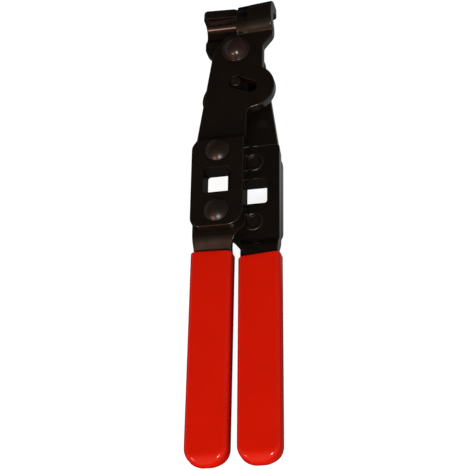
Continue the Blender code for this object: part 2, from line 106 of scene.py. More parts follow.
NECK_X = 13.0
NECK_TOP = (NECK_X, 0.8, 2.5)
LOBE = (7.1, -21.75)
LOBE_RADIUS = 11.7
LOBE_UPPER_FILLET = 1.2
LOBE_LOWER_FILLET = 3.5
PLATE_INNER_X = 5.4
PLATE_OUTER_X = -19.4
PLATE_END_Y = -97.4
PLATE_INNER_CORNER = 7.5
PLATE_OUTER_CORNER = 5.0
SHOULDER = ((PLATE_OUTER_X, -57.2, 8.0), (-19.0, -52.5, 8.0))
NOTCH = ((-11.5, -0.5, 6.0), (-4.5, JAW_BACK_Y, 4.0))
STEP_MIDDLE_Y = -50.9
STEP_WIDTH = 3.4
STEP_CORNER_DRAW = 2.2
STEP_CORNER_REACH = (6.0, 5.0)

DRIVE_HOLE = 12.9
DRIVE_CORNER = 1.3
RIVET_X = -7.0
RIVET_YS = {"front": -58.0, "rear": -89.2}
DRIVE_Y = (RIVET_YS["front"] + RIVET_YS["rear"]) / 2
RIVET_HOLE = 3.05
PIVOT_HOLE = 4.05
SLOT_START = (0.0, -18.6)
SLOT_WIDTH = 6.5

# How finely the shapes are divided, in millimetres where it is a length.
POINT_SPACING = 0.6
ROW_SPACING = 0.5
FIELD_SPACING = (4.0, 4.0)
ROLL_FIELD_START = (0.4, 5.5)
ROLL_COLUMNS = 1.1
STEP_FIELD_REACH = 3.5
STEP_FIELD_SPACING = (2.0, 0.35)
STEP_FIELD_MARGIN = 5.0
HEAD_FIELD_END = (JAW_OUTER_X + 1, 3.5)
FEWEST_STEPS = 6
SHORTEST_RUN = 0.001
MERGE_DISTANCE = 1e-6


def arc(centre, radius, start, end):
    """Points on a circle: the centre plus the radius times the cosine and sine of each angle."""
    steps = max(FEWEST_STEPS, math.ceil(abs(end - start) * radius / ROW_SPACING))
    angle = np.linspace(start, end, steps + 1)
    return np.column_stack([centre[0] + radius * np.cos(angle), centre[1] + radius * np.sin(angle)])


def rounded(corners, closed=True):
    """An outline through (x, y, radius) corners, each replaced by the arc that touches both its sides."""
    corners = np.array(corners, float)
    pieces = []
    for here in range(len(corners)):
        tip, radius = corners[here, :2], corners[here, 2]
        if radius == 0 or (not closed and here in (0, len(corners) - 1)):
            pieces.append(tip[None])
            continue
        back = corners[here - 1, :2] - tip
        ahead = corners[(here + 1) % len(corners), :2] - tip
        back /= np.linalg.norm(back)
        ahead /= np.linalg.norm(ahead)
        half_angle = math.acos(np.clip(back @ ahead, -1, 1)) / 2
        bisector = (back + ahead) / np.linalg.norm(back + ahead)
        centre = tip + bisector * radius / math.sin(half_angle)
        first = tip + back * radius / math.tan(half_angle) - centre
        last = tip + ahead * radius / math.tan(half_angle) - centre
        start = math.atan2(first[1], first[0])
        sweep = math.remainder(math.atan2(last[1], last[0]) - start, math.tau)
        pieces.append(arc(centre, radius, start, start + sweep))
    return np.concatenate(pieces)


def spaced(loop):
    """A closed outline with its long runs divided evenly, anticlockwise."""
    after = np.roll(loop, -1, axis=0)
    length = np.linalg.norm(after - loop, axis=1)
    parts = []
    for start, end, run in zip(loop, after, length):
        if run > SHORTEST_RUN:
            shares = np.linspace(0, 1, max(1, math.ceil(run / POINT_SPACING)), endpoint=False)
            parts.append(start + (end - start) * shares[:, None])
    even = np.concatenate(parts)
    turn = np.roll(even, -1, axis=0)
    area = np.sum(even[:, 0] * turn[:, 1] - even[:, 1] * turn[:, 0])
    return even if area > 0 else even[::-1]


def edge_section(outer_round, inner_round):
    """A punched edge with a quarter circle at either face, going down.

    Each row is (inset, depth, sideways share, downward share).
    """
    angle = np.linspace(0, math.pi / 2, ROUND_POINTS)
    sine, cosine = np.sin(angle), np.cos(angle)
    top = np.column_stack([outer_round * (1 - sine), outer_round * (1 - cosine), sine, -cosine])
    foot = np.column_stack([inner_round * (1 - sine), SHEET - inner_round * (1 - cosine), sine, cosine])
    return np.concatenate([top, foot[::-1]])


def inside(points, loops):
    """Which points lie within the loops, by counting the edges that a ray along +X meets."""
    starts = np.concatenate(loops)
    ends = np.concatenate([np.roll(loop, -1, axis=0) for loop in loops])
    x, y = points[:, :1], points[:, 1:]
    spans = (starts[:, 1] > y) != (ends[:, 1] > y)
    rise = np.where(ends[:, 1] == starts[:, 1], 1, ends[:, 1] - starts[:, 1])
    meets = starts[:, 0] + (y - starts[:, 1]) * (ends[:, 0] - starts[:, 0]) / rise
    return (spans & (x < meets)).sum(axis=1) % 2 == 1


def filled(loops, field):
    """Triangles over the area between the loops, through the field's points, as rows of three."""
    points = np.concatenate([*loops, field])
    edges, first = [], 0
    for loop in loops:
        here = np.arange(len(loop))
        edges += np.column_stack([first + here, first + (here + 1) % len(loop)]).tolist()
        first += len(loop)
    meshed = delaunay_2d_cdt([Vector(point) for point in points], edges, [], 0, MERGE_DISTANCE)
    triangles = np.array(meshed[2])
    triangles = triangles[inside(points[triangles].mean(axis=1), loops)]
    a, b, c = (points[triangles[:, corner]] for corner in range(3))
    area = (b[:, 0] - a[:, 0]) * (c[:, 1] - a[:, 1]) - (b[:, 1] - a[:, 1]) * (c[:, 0] - a[:, 0])
    triangles[area < 0] = triangles[area < 0][:, ::-1]
    return triangles


def blank(loops, field):
    """A flat blank in (across, along, depth).

    Each loop carries its edge section, and the field fills both faces. Returns the points,
    their outward directions, how far each is on a rounded edge, the quads and the triangles.
    """
    points, directions, wear_and_painted_shade, quads, tops, feet = [], [], [], [], [], []
    first = 0
    for loop, section in loops:
        tangent = np.roll(loop, -1, axis=0) - np.roll(loop, 1, axis=0)
        tangent /= np.linalg.norm(tangent, axis=1)[:, None]
        outward = np.column_stack([tangent[:, 1], -tangent[:, 0]])
        flat = loop[None] - section[:, None, :1] * outward[None]
        rows, columns = len(section), len(loop)
        depth = np.broadcast_to(section[:, 1, None, None], (rows, columns, 1))
        points.append(np.concatenate([flat, depth], axis=2).reshape(-1, 3))
        sideways = section[:, 2, None, None] * outward[None]
        down = np.broadcast_to(section[:, 3, None, None], (rows, columns, 1))
        directions.append(np.concatenate([sideways, down], axis=2).reshape(-1, 3))
        round_share = np.abs(2 * section[:, 2] * section[:, 3])
        round_share[[0, -1]] = 0
        wear_and_painted_shade.append(np.repeat(round_share, columns))
        here = np.arange(columns)
        there = (here + 1) % columns
        row = first + np.arange(rows - 1)[:, None] * columns
        below = row + columns
        quads.append(np.stack([row + here, below + here, below + there, row + there], 2).reshape(-1, 4))
        tops.append(first + here)
        feet.append(first + (rows - 1) * columns + here)
        first += rows * columns
    triangles = []
    for rings, depth, way in ((tops, 0.0, -1.0), (feet, SHEET, 1.0)):
        joined = np.concatenate(points)
        edge_loops = [joined[ring, :2] for ring in rings]
        near = np.concatenate(edge_loops)
        within = field[inside(field, edge_loops)]
        gaps = np.min(np.linalg.norm(within[:, None] - near[None], axis=2), axis=1)
        within = within[gaps > POINT_SPACING / 2]
        faces = filled(edge_loops, within)
        places = np.concatenate([*rings, first + np.arange(len(within))])
        faces = places[faces]
        triangles.append(faces if way < 0 else faces[:, ::-1])
        points.append(np.column_stack([within, np.full(len(within), depth)]))
        directions.append(np.tile([0, 0, way], (len(within), 1)))
        wear_and_painted_shade.append(np.zeros(len(within)))
        first += len(within)
    return (np.concatenate(points), np.concatenate(directions), np.concatenate(wear_and_painted_shade),
            np.concatenate(quads), np.concatenate(triangles))


def carried(bend, points, directions):
    """The points after a bend, and their normals.

    A normal is the flat direction times the inverse transpose of the bend's slope.
    """
    step = 0.002
    slopes = []
    for axis in np.eye(3):
        slopes.append((bend(points + step * axis) - bend(points - step * axis)) / (2 * step))
    normals = np.einsum("nji,nj->ni", np.linalg.inv(np.stack(slopes, axis=2)), directions)
    return bend(points), normals / np.linalg.norm(normals, axis=1)[:, None]


def add_piece(side, name, shape, look, body, stands_for):
    """One mesh object at its place in the tool, tied to its body, CAD nodes and material slot."""
    points, normals, wear_and_painted_shade, quads, triangles = shape
    turn = HALF_TURNS[side]
    mesh = bpy.data.meshes.new(name)
    mesh.from_pydata(points * MM @ turn + PIVOT, [], [*quads.tolist(), *triangles.tolist()])
    mesh.shade_smooth()
    mesh.normals_split_custom_set_from_vertices((normals @ turn).tolist())
    # The edge attribute carries worn edges above zero and painted shade below zero.
    wear_and_shade_layer = mesh.attributes.new("wear_and_painted_shade", "FLOAT", "POINT")
    wear_and_shade_layer.data.foreach_set("value", np.ascontiguousarray(wear_and_painted_shade, np.float32))
    mesh.materials.append(look)
    piece = bpy.data.objects.new(name, mesh)
    bpy.context.scene.collection.objects.link(piece)
    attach(piece, body)
    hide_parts(*stands_for)
    return piece


def linear(code):
    """A colour written as sRGB hex, turned to linear light: (c + 0.055) / 1.055 to the 2.4 above 0.04."""
    shares = [int(code[place:place + 2], 16) / 255 for place in (0, 2, 4)]
    return (*[c / 12.92 if c <= 0.04045 else ((c + 0.055) / 1.055) ** 2.4 for c in shares], 1)


def new_look(name):
    """An empty material with its shader, and its tree."""
    look = bpy.data.materials.new(name)
    look.use_nodes = True
    tree = look.node_tree
    return look, tree, tree.nodes["Principled BSDF"]


def node(tree, kind, inputs=None, **settings):
    """Adds one node: settings are its own, inputs are values or the outputs that feed its sockets."""
    added = tree.nodes.new(kind)
    for key, value in settings.items():
        setattr(added, key, value)
    for socket, value in (inputs or {}).items():
        if isinstance(value, bpy.types.NodeSocket):
            tree.links.new(value, added.inputs[socket])
        else:
            added.inputs[socket].default_value = value
    return added


def figure(tree, operation, *values):
    """One step of arithmetic on numbers or outputs."""
    return node(tree, "ShaderNodeMath", dict(enumerate(values)), operation=operation).outputs[0]


def mixed(tree, share, first, second):
    """The first colour, turned into the second by a share. Sockets 6 and 7 hold the colours."""
    return node(tree, "ShaderNodeMix", {"Factor": share, 6: first, 7: second}, data_type="RGBA").outputs[2]


def ranged(tree, value, start, end, first=0.0, last=1.0):
    """First until the value reaches start, last from end on, and in proportion between them."""
    return node(tree, "ShaderNodeMapRange", {"Value": value, 1: start, 2: end, 3: first, 4: last}).outputs[0]


def per_metre(size):
    """A pattern's scale on Object coordinates, from the real size of one spot in millimetres."""
    return 1 / (size * MM)


def noise(tree, place, spot, detail):
    """Cloudy noise with spots of a real size in millimetres."""
    inputs = {"Vector": place, "Scale": per_metre(spot), "Detail": detail}
    return node(tree, "ShaderNodeTexNoise", inputs).outputs["Fac"]


def relief(tree, shader, height, strength, depth):
    """Fine relief on the shader's skin, its depth in millimetres."""
    skin = node(tree, "ShaderNodeBump", {"Height": height, "Strength": strength, "Distance": depth * MM})
    tree.links.new(skin.outputs[0], shader.inputs["Normal"])


# Black oxide: worn edges, painted shade in the thumb groove, the fine grain, and the gloss of its clear film.
WORN_TONE = "251d18"
WEAR_SPOT = 1.6
# Near-black tone for the painted shade laid in the thumb groove.
PAINTED_SHADE_TONE = "050403"
GRAIN_SPOT = 0.45
GRAIN_DEPTH = 0.02
NOISE_SPAN = (0.3, 0.7)
SHEEN_SPREAD = (-0.03, 0.04)
FILM_IOR = 1.5


def blackened_steel(name, dark, light, roughness, mottle):
    """Hot black oxide under oil: near black, a little brown, with the sheen of a thin clear film.

    The eye sees soft sharp-edged reflections, cloudy brown mottling, the faint grain of the
    rolled strip, and edges worn a little lighter. Where the edge attribute is below zero, it
    is the share of painted shade: a near-black tone laid where shade falls in the thumb groove.
    """
    look, tree, shader = new_look(name)
    place = node(tree, "ShaderNodeTexCoord").outputs["Object"]
    cloud = noise(tree, place, mottle, detail=5.0)
    colour = mixed(tree, cloud, linear(dark), linear(light))
    wear_and_painted_shade = node(tree, "ShaderNodeAttribute", attribute_name="wear_and_painted_shade").outputs["Fac"]
    worn = figure(tree, "MULTIPLY", wear_and_painted_shade, noise(tree, place, WEAR_SPOT, detail=3.0))
    colour = mixed(tree, worn, colour, linear(WORN_TONE))
    # Below zero the edge attribute paints shade: the colour is mixed towards near black.
    painted_shade = figure(tree, "MULTIPLY", wear_and_painted_shade, -1.0)
    colour = mixed(tree, painted_shade, colour, linear(PAINTED_SHADE_TONE))
    tree.links.new(colour, shader.inputs["Base Color"])
    smoother, duller = (roughness + change for change in SHEEN_SPREAD)
    tree.links.new(ranged(tree, cloud, *NOISE_SPAN, smoother, duller), shader.inputs["Roughness"])
    relief(tree, shader, noise(tree, place, GRAIN_SPOT, detail=3.0), strength=0.15, depth=GRAIN_DEPTH)
    shader.inputs["IOR"].default_value = FILM_IOR
    return look


def smooth_step(value, start, end):
    """Rises from 0 at start to 1 at end as 3t squared less 2t cubed."""
    share = np.clip((value - start) / (end - start), 0, 1)
    return share * share * (3 - 2 * share)


def roll_rails():
    """The rolled jaw from the side, for the outer and then the inner face.

    Each rail is its points' lengths along it, its (y, z) points, and the lengths of the
    knots, which face each other across the sheet.
    """
    bend = np.array([JAW_BEND_Y, JAW_BEND_Z])
    outer_reach = JAW_OUTER_RADIUS + JAW_FOOT_FILLET
    outer_rise = HEAD_FACE + JAW_FOOT_FILLET - JAW_BEND_Z
    outer_angle = math.asin(outer_rise / outer_reach)
    outer_centre = bend + outer_reach * np.array([-math.cos(outer_angle), math.sin(outer_angle)])
    hollow = bend - (0, JAW_CROWN_UPSET)
    inner_reach = JAW_BEND_RADIUS + JAW_FOLD_RADIUS
    inner_angle = math.asin((INNER_FACE + JAW_FOLD_RADIUS - hollow[1]) / inner_reach)
    inner_centre = hollow + inner_reach * np.array([-math.cos(inner_angle), math.sin(inner_angle)])
    rails = []
    for middle, centre, fillet, radius, angle, face in (
            (bend, outer_centre, JAW_FOOT_FILLET, JAW_OUTER_RADIUS, outer_angle, HEAD_FACE),
            (hollow, inner_centre, JAW_FOLD_RADIUS, JAW_BEND_RADIUS, inner_angle, INNER_FACE)):
        rail = np.concatenate([
            [(ROLL_START, face)],
            arc(centre, fillet, -math.pi / 2, -angle),
            arc(middle, radius, math.pi - angle, ROLL_MATCH)[1:],
            arc(middle, radius, ROLL_MATCH, 0)[1:],
            [(JAW_BEND_Y + radius, JAW_BEND_Z - JAW_LIP_DROP)],
        ])
        length = np.concatenate([[0], np.cumsum(np.linalg.norm(np.diff(rail, axis=0), axis=1))])
        drop = middle[1] - JAW_BEND_Z + JAW_LIP_DROP
        knots = [0, length[-1] - drop - radius * ROLL_MATCH, length[-1] - drop, length[-1]]
        rails.append((length, rail, knots))
    return rails


(OUTER_LENGTH, OUTER_RAIL, OUTER_KNOTS), (INNER_LENGTH, INNER_RAIL, INNER_KNOTS) = roll_rails()
ROLL_END = ROLL_START + OUTER_KNOTS[-1]
ROLL_CREST = ROLL_START + OUTER_KNOTS[2]


def groove_share(x, run):
    """How deep in the thumb groove a point lies, from 0 on the crown to 1 on the groove's floor."""
    front, back = (ROLL_CREST - JAW_OUTER_RADIUS * turn for turn in GROOVE_TURNS)
    share = 1 - smooth_step(x, GROOVE_END_X - GROOVE_FLANK / 2, GROOVE_END_X + GROOVE_FLANK / 2)
    share *= smooth_step(run, back - GROOVE_RUN_OUT / 2, back + GROOVE_RUN_OUT / 2)
    return share * (1 - smooth_step(run, front - GROOVE_RUN_OUT, front + GROOVE_RUN_OUT))


def bent_plate(points):
    """The jaw plate's bend: (across, along, depth) on the blank to (x, y, z) on the plate.

    A point lies between two rails, the outer and the inner face seen from the side, at its
    depth's share of the sheet. The step is a smooth rise of both faces, which draws its outer
    corner in. The roll runs along arcs, its fold line slants with x, its crown climbs a
    little towards the outer end, and the thumb groove sinks the outer rail.
    """
    x, along, depth = points.T
    slant = np.where(along > 0, (x - JAW_OUTER_X) * JAW_SLANT, 0)
    run = along - slant
    rise = smooth_step(STEP_MIDDLE_Y - run, -STEP_WIDTH / 2, STEP_WIDTH / 2)
    drawn = rise * smooth_step(PLATE_OUTER_X - x, -STEP_CORNER_REACH[0], 0)
    drawn *= 1 - smooth_step(STEP_MIDDLE_Y - run, 0, STEP_CORNER_REACH[1])
    rise = rise * (RAISED_FACE - HEAD_FACE)
    rolled = run > ROLL_START
    outer_run = run - ROLL_START
    inner_run = np.interp(outer_run, OUTER_KNOTS, INNER_KNOTS)
    outer_y = np.where(rolled, np.interp(outer_run, OUTER_LENGTH, OUTER_RAIL[:, 0]), run)
    outer_z = np.where(rolled, np.interp(outer_run, OUTER_LENGTH, OUTER_RAIL[:, 1]), HEAD_FACE + rise)
    inner_y = np.where(rolled, np.interp(inner_run, INNER_LENGTH, INNER_RAIL[:, 0]), run)
    inner_z = np.where(rolled, np.interp(inner_run, INNER_LENGTH, INNER_RAIL[:, 1]), INNER_FACE + rise)
    share = depth / SHEET
    share = share + (1 - share) * groove_share(x, run) * GROOVE_DEPTH / SHEET
    y = outer_y + (inner_y - outer_y) * share + slant
    z = outer_z + (inner_z - outer_z) * share
    crown = smooth_step(run, ROLL_START, ROLL_CREST - JAW_OUTER_RADIUS)
    crown = crown * (1 - smooth_step(run, ROLL_CREST, ROLL_END))
    return np.column_stack([x + drawn * STEP_CORNER_DRAW, y, z + crown * JAW_CROWN_TILT * (x - JAW_OUTER_X)])


def plate_loop():
    """The jaw plate's blank outline, with the jaw as it lies before it is rolled."""
    upper_x = NECK_X + LOBE_UPPER_FILLET
    upper_y = LOBE[1] + math.sqrt((LOBE_RADIUS + LOBE_UPPER_FILLET) ** 2 - (upper_x - LOBE[0]) ** 2)
    lower_x = PLATE_INNER_X + LOBE_LOWER_FILLET
    lower_y = LOBE[1] - math.sqrt((LOBE_RADIUS + LOBE_LOWER_FILLET) ** 2 - (lower_x - LOBE[0]) ** 2)
    upper_angle = math.atan2(upper_y - LOBE[1], upper_x - LOBE[0])
    lower_angle = math.atan2(lower_y - LOBE[1], lower_x - LOBE[0])
    meeting_end = ROLL_END + (JAW_MEETING_X - JAW_OUTER_X) * JAW_SLANT
    jaw = rounded([
        (JAW_MEETING_X, JAW_BACK_Y, JAW_BACK_CORNER),
        (JAW_MEETING_X, meeting_end, JAW_CORNER),
        (JAW_OUTER_X, ROLL_END, JAW_CORNER),
        JAW_HEEL,
        NECK_TOP,
        (NECK_X, upper_y, 0),
    ], closed=False)
    body = rounded([
        (PLATE_INNER_X, lower_y, 0),
        (PLATE_INNER_X, PLATE_END_Y, PLATE_INNER_CORNER),
        (PLATE_OUTER_X, PLATE_END_Y, PLATE_OUTER_CORNER),
        *SHOULDER,
        *NOTCH,
        (JAW_MEETING_X - JAW_BACK_CORNER, JAW_BACK_Y, 0),
    ], closed=False)
    return np.concatenate([
        jaw,
        arc((upper_x, upper_y), LOBE_UPPER_FILLET, math.pi, math.pi + upper_angle)[1:],
        arc(LOBE, LOBE_RADIUS, upper_angle, lower_angle)[1:],
        arc((lower_x, lower_y), LOBE_LOWER_FILLET, math.pi + lower_angle, math.pi)[1:-1],
        body,
    ])


def drive_loop():
    """The square hole with its rounded corners."""
    reach = DRIVE_HOLE / 2
    turns = ((1, 1), (-1, 1), (-1, -1), (1, -1))
    return rounded([(RIVET_X + reach * x, DRIVE_Y + reach * y, DRIVE_CORNER) for x, y in turns])


def slot_loop():
    """The slot for the stop pin, from the middle of the tool to the lobe's centre."""
    along = math.atan2(LOBE[1] - SLOT_START[1], LOBE[0] - SLOT_START[0])
    quarter = math.pi / 2
    return np.concatenate([arc(LOBE, SLOT_WIDTH / 2, along - quarter, along + quarter),
                           arc(SLOT_START, SLOT_WIDTH / 2, along + quarter, along + 3 * quarter)])


def round_loop(centre, radius):
    """A round hole."""
    return arc(centre, radius, 0, math.tau)[:-1]


def grid(low, high, spacing):
    """Points at the crossings of evenly spaced rows and columns between two corners."""
    columns = np.linspace(low[0], high[0], math.ceil((high[0] - low[0]) / spacing[0]) + 1)
    rows = np.linspace(low[1], high[1], math.ceil((high[1] - low[1]) / spacing[1]) + 1)
    return np.stack(np.meshgrid(columns, rows), -1).reshape(-1, 2)


def plate_field():
    """Inner points of the plate's blank: close rows at the roll and the step, few on the flats."""
    roll = grid(ROLL_FIELD_START, (JAW_OUTER_X, ROLL_END), (ROLL_COLUMNS, ROW_SPACING))
    roll[:, 1] += (roll[:, 0] - JAW_OUTER_X) * JAW_SLANT
    flank = grid((GROOVE_END_X - GROOVE_FLANK, ROLL_START), (GROOVE_END_X + GROOVE_FLANK, ROLL_END),
                 (GROOVE_FLANK / 4, ROW_SPACING))
    flank[:, 1] += (flank[:, 0] - JAW_OUTER_X) * JAW_SLANT
    clear = np.abs(roll[:, 0] - GROOVE_END_X) > GROOVE_CLEARANCE
    step = grid((PLATE_OUTER_X, STEP_MIDDLE_Y - STEP_FIELD_REACH),
                (PLATE_INNER_X, STEP_MIDDLE_Y + STEP_FIELD_REACH), STEP_FIELD_SPACING)
    head = grid((PLATE_OUTER_X, STEP_MIDDLE_Y + STEP_FIELD_MARGIN), HEAD_FIELD_END, FIELD_SPACING)
    foot = grid((PLATE_OUTER_X, PLATE_END_Y), (PLATE_INNER_X, STEP_MIDDLE_Y - STEP_FIELD_MARGIN), FIELD_SPACING)
    return np.concatenate([roll[clear], flank, step, head, foot])


def plate_shape():
    """The jaw plate: its blank with every hole, bent, with painted shade along the groove's near side."""
    punched = edge_section(EDGE_ROUND, BURR_ROUND)
    pierced = edge_section(*PIERCED_ROUNDS)
    holes = [(drive_loop(), edge_section(*DRIVE_ROUNDS)), (slot_loop(), pierced)]
    holes.append((round_loop((0, 0), PIVOT_HOLE), pierced))
    holes += [(round_loop((RIVET_X, y), RIVET_HOLE), pierced) for y in RIVET_YS.values()]
    loops = [(spaced(plate_loop()), punched)]
    loops += [(spaced(loop)[::-1], section) for loop, section in holes]
    points, directions, wear_and_painted_shade, quads, triangles = blank(loops, plate_field())
    run = points[:, 1] - (points[:, 0] - JAW_OUTER_X) * JAW_SLANT
    on_top = points[:, 2] < EDGE_ROUND / 2
    # Painted shade: near black laid on the outer face over the thumb groove, shifted along the run and
    # strongest towards its flank, where shade falls.
    painted_shade = groove_share(points[:, 0], run - PAINTED_SHADE_SHIFT)
    painted_shade *= PAINTED_SHADE_START + smooth_step(points[:, 0], *PAINTED_SHADE_FLANK)
    wear_and_painted_shade = np.where(on_top, wear_and_painted_shade - painted_shade, wear_and_painted_shade)
    return (*carried(bent_plate, points, directions), wear_and_painted_shade, quads, triangles)


black_oxide = blackened_steel("oiled_black_oxide_on_strip_steel", dark="120e0b", light="19140f",
                              roughness=0.17, mottle=6.0)
plate = plate_shape()
for side in HALF_TURNS:
    add_piece(side, side + "_jaw_plate_stamping", plate, black_oxide, side + "_half",
              [side + "_jaw_plate"])

# Handle bars: flat steel bar under each plate, cropped, pierced with the same square
# hole and countersunk for the rivet tails, cranked to the middle of the tool just
# before the grip, and blackened with the plate after riveting.

BAR_TOP_Y = -49.65
BAR_LEAN = 3.3
BAR_LEAN_START_Y = -57.0
BAR_INNER_X = -2.1
BAR_TAPER = 0.6
BAR_END_Y = -203.7
BAR_TIP_RADIUS = 7.5
BAR_CORNER = 1.0
BAR_BACK_RADIUS = 8.0
BAR_NECK = (BAR_INNER_X, -101.7, 8.0)
BAR_NECK_SHOULDER = (PLATE_INNER_X, -95.4, 2.0)
CROPPED_ROUNDS = (0.3, 0.3)
BAR_DRIVE_ROUNDS = (0.12, 0.3)
BAR_HOLE_ROUNDS = (0.2, 0.2)
CONE_NORMAL = (0.7, 0.7)
HANDLE_SPLAY = 0.6
CRANK_START_Y = -98.0
CRANK_LENGTH = 9.0
TAIL_RADIUS = 5.0
TAIL_DEPTH = 1.6
CRANK_FIELD_SPACING = (1.5, 0.4)
CRANK_FIELD_MARGINS = (1.0, 3.0, 4.0)


def crank_drop(y):
    """How far the bar has sunk towards the middle plane: half a cosine wave over the crank."""
    share = np.clip((CRANK_START_Y - y) / CRANK_LENGTH, 0, 1)
    return (INNER_FACE + SHEET / 2) * (1 - np.cos(math.pi * share)) / 2


def bent_bar(points):
    """The bar's bend: each point lies its depth from the bar's middle line, square to it, and the end leans."""
    x, along, depth = points.T
    step = 0.01
    slope = (crank_drop(along + step) - crank_drop(along - step)) / (2 * step)
    steepness = np.sqrt(1 + slope ** 2)
    above = SHEET / 2 - depth
    lean = BAR_LEAN * np.clip((along - BAR_LEAN_START_Y) / (BAR_TOP_Y - BAR_LEAN_START_Y), 0, 1)
    y = along - lean * (1 - depth / SHEET) + above * slope / steepness
    z = INNER_FACE + SHEET / 2 - crank_drop(along) + above / steepness
    return np.column_stack([x, y, z])


def bar_shape():
    """The handle bar: outline, square hole and countersunk rivet holes, bent at the crank."""
    outline = rounded([
        (PLATE_INNER_X, BAR_TOP_Y, BAR_CORNER),
        (PLATE_OUTER_X, BAR_TOP_Y, BAR_CORNER),
        (PLATE_OUTER_X, CRANK_START_Y, BAR_BACK_RADIUS),
        (PLATE_OUTER_X - HANDLE_SPLAY, BAR_END_Y, BAR_TIP_RADIUS),
        (BAR_INNER_X - BAR_TAPER - HANDLE_SPLAY, BAR_END_Y, BAR_TIP_RADIUS),
        BAR_NECK,
        BAR_NECK_SHOULDER,
    ])
    cropped = edge_section(*CROPPED_ROUNDS)
    countersunk = edge_section(*BAR_HOLE_ROUNDS)
    countersunk[-ROUND_POINTS:, 0] = np.linspace(0, TAIL_RADIUS - RIVET_HOLE, ROUND_POINTS)
    countersunk[-ROUND_POINTS:, 1] = np.linspace(SHEET - TAIL_DEPTH, SHEET, ROUND_POINTS)
    countersunk[-ROUND_POINTS:-1, 2:] = CONE_NORMAL
    countersunk[-1, 2:] = (0, 1)
    loops = [(spaced(outline), cropped), (spaced(drive_loop())[::-1], edge_section(*BAR_DRIVE_ROUNDS))]
    loops += [(spaced(round_loop((RIVET_X, y), RIVET_HOLE))[::-1], countersunk) for y in RIVET_YS.values()]
    beside, above, below = CRANK_FIELD_MARGINS
    crank_end_y = CRANK_START_Y - CRANK_LENGTH
    crank = grid((PLATE_OUTER_X, crank_end_y - beside), (PLATE_INNER_X, CRANK_START_Y + beside),
                 CRANK_FIELD_SPACING)
    lap = grid((PLATE_OUTER_X, CRANK_START_Y + above), (PLATE_INNER_X, BAR_TOP_Y), FIELD_SPACING)
    tang = grid((PLATE_OUTER_X, BAR_END_Y), (BAR_INNER_X, crank_end_y - below), FIELD_SPACING)
    points, directions, wear_and_painted_shade, quads, triangles = blank(loops, np.concatenate([crank, lap, tang]))
    return (*carried(bent_bar, points, directions), wear_and_painted_shade, quads, triangles)


bar = bar_shape()
for side in HALF_TURNS:
    add_piece(side, side + "_handle_bar_strip", bar, black_oxide, side + "_half",
              [side + "_handle_bar"])

# Handle rivets: cold headed steel with a low domed head. The tail is drilled a little
# way, pressed into the bar's countersink and rolled over, which leaves a raised ring
# round a dished middle. They are blackened too, and a little duller than the strip.
# Each corner of the tail is (radius, height over the bar's inner face, corner radius).

RIVET_HEAD_RADIUS = 5.8
RIVET_HEAD_HEIGHT = 2.9
RIVET_HEAD_RIM = 0.35
RIM_CORNERS = (0.6, 0.5)
CAP_RADIUS = 0.05
RIVET_TAIL = ((CAP_RADIUS, 0.8, 0), (2.9, 0.8, 0.25), (3.5, -0.25, 0.3), (4.25, -0.8, 0.8),
              (TAIL_RADIUS, 0.05, 0.3), (RIVET_HOLE, TAIL_DEPTH, 0.2))
ROUND_SEGMENTS = 96
DOME_ROWS = 28
DOME_LAST_TURN = 0.01
SMALLEST_SLOPE = 1e-12


def closed_grid(points, first_cap, last_cap):
    """A shape from rows of points that each close on themselves, with a cap point at either end.

    The normal at a point is the cross product of the slopes along and across the rows.
    """
    rows, columns = points.shape[:2]
    along = np.gradient(points, axis=0)
    across = np.roll(points, -1, axis=1) - np.roll(points, 1, axis=1)
    normals = np.cross(across, along)
    normals /= np.maximum(np.linalg.norm(normals, axis=2), SMALLEST_SLOPE)[..., None]
    caps = np.array([first_cap[0], last_cap[0]], float)
    cap_normals = np.array([first_cap[1], last_cap[1]], float)
    here = np.arange(columns)
    there = (here + 1) % columns
    row = np.arange(rows - 1)[:, None] * columns
    above = row + columns
    quads = np.stack([row + here, row + there, above + there, above + here], 2).reshape(-1, 4)
    start, end = rows * columns, rows * columns + 1
    last = (rows - 1) * columns
    fans = np.concatenate([np.column_stack([np.full(columns, start), there, here]),
                           np.column_stack([np.full(columns, end), last + here, last + there])])
    places = np.concatenate([points.reshape(-1, 3), caps])
    return places, np.concatenate([normals.reshape(-1, 3), cap_normals]), np.zeros(len(places)), quads, fans


def turned_shape(profile, centre=(0, 0)):
    """A round piece: (radius, height) points from the foot to the top, carried round an upright axis."""
    angle = np.arange(ROUND_SEGMENTS) * math.tau / ROUND_SEGMENTS
    radius, height = profile[:, 0, None], profile[:, 1, None]
    points = np.stack([centre[0] + radius * np.cos(angle), centre[1] + radius * np.sin(angle),
                       height + 0 * angle], axis=2)
    foot = ((*centre, profile[0, 1]), (0, 0, -1))
    top = ((*centre, profile[-1, 1]), (0, 0, 1))
    return closed_grid(points, foot, top)


def dome(radius, height, base, rim):
    """A spherical head over a short rounded rim: (radius, height) points from under the rim to the top.

    The rim's two corner radii are shares of its height.
    """
    sphere = (radius ** 2 + (height - rim) ** 2) / (2 * (height - rim))
    angle = np.linspace(math.asin(radius / sphere), DOME_LAST_TURN, DOME_ROWS)
    cap = np.column_stack([sphere * np.sin(angle), base + height - sphere * (1 - np.cos(angle))])
    under, over = (rim * share for share in RIM_CORNERS)
    side = [(radius - 2 * rim, base, 0), (radius, base, under), (*cap[0], over), (*cap[1], 0)]
    return rounded(side, closed=False), cap[1:]


def rivet_shape(y):
    """A handle rivet from its rolled tail, through the shank, to its domed head."""
    corners = [(radius, INNER_FACE + height, corner) for radius, height, corner in RIVET_TAIL]
    tail = rounded([*corners, (RIVET_HOLE, RAISED_FACE, 0)], closed=False)
    rim, cap = dome(RIVET_HEAD_RADIUS, RIVET_HEAD_HEIGHT, RAISED_FACE, RIVET_HEAD_RIM)
    return turned_shape(np.concatenate([tail, rim, cap]), (RIVET_X, y))


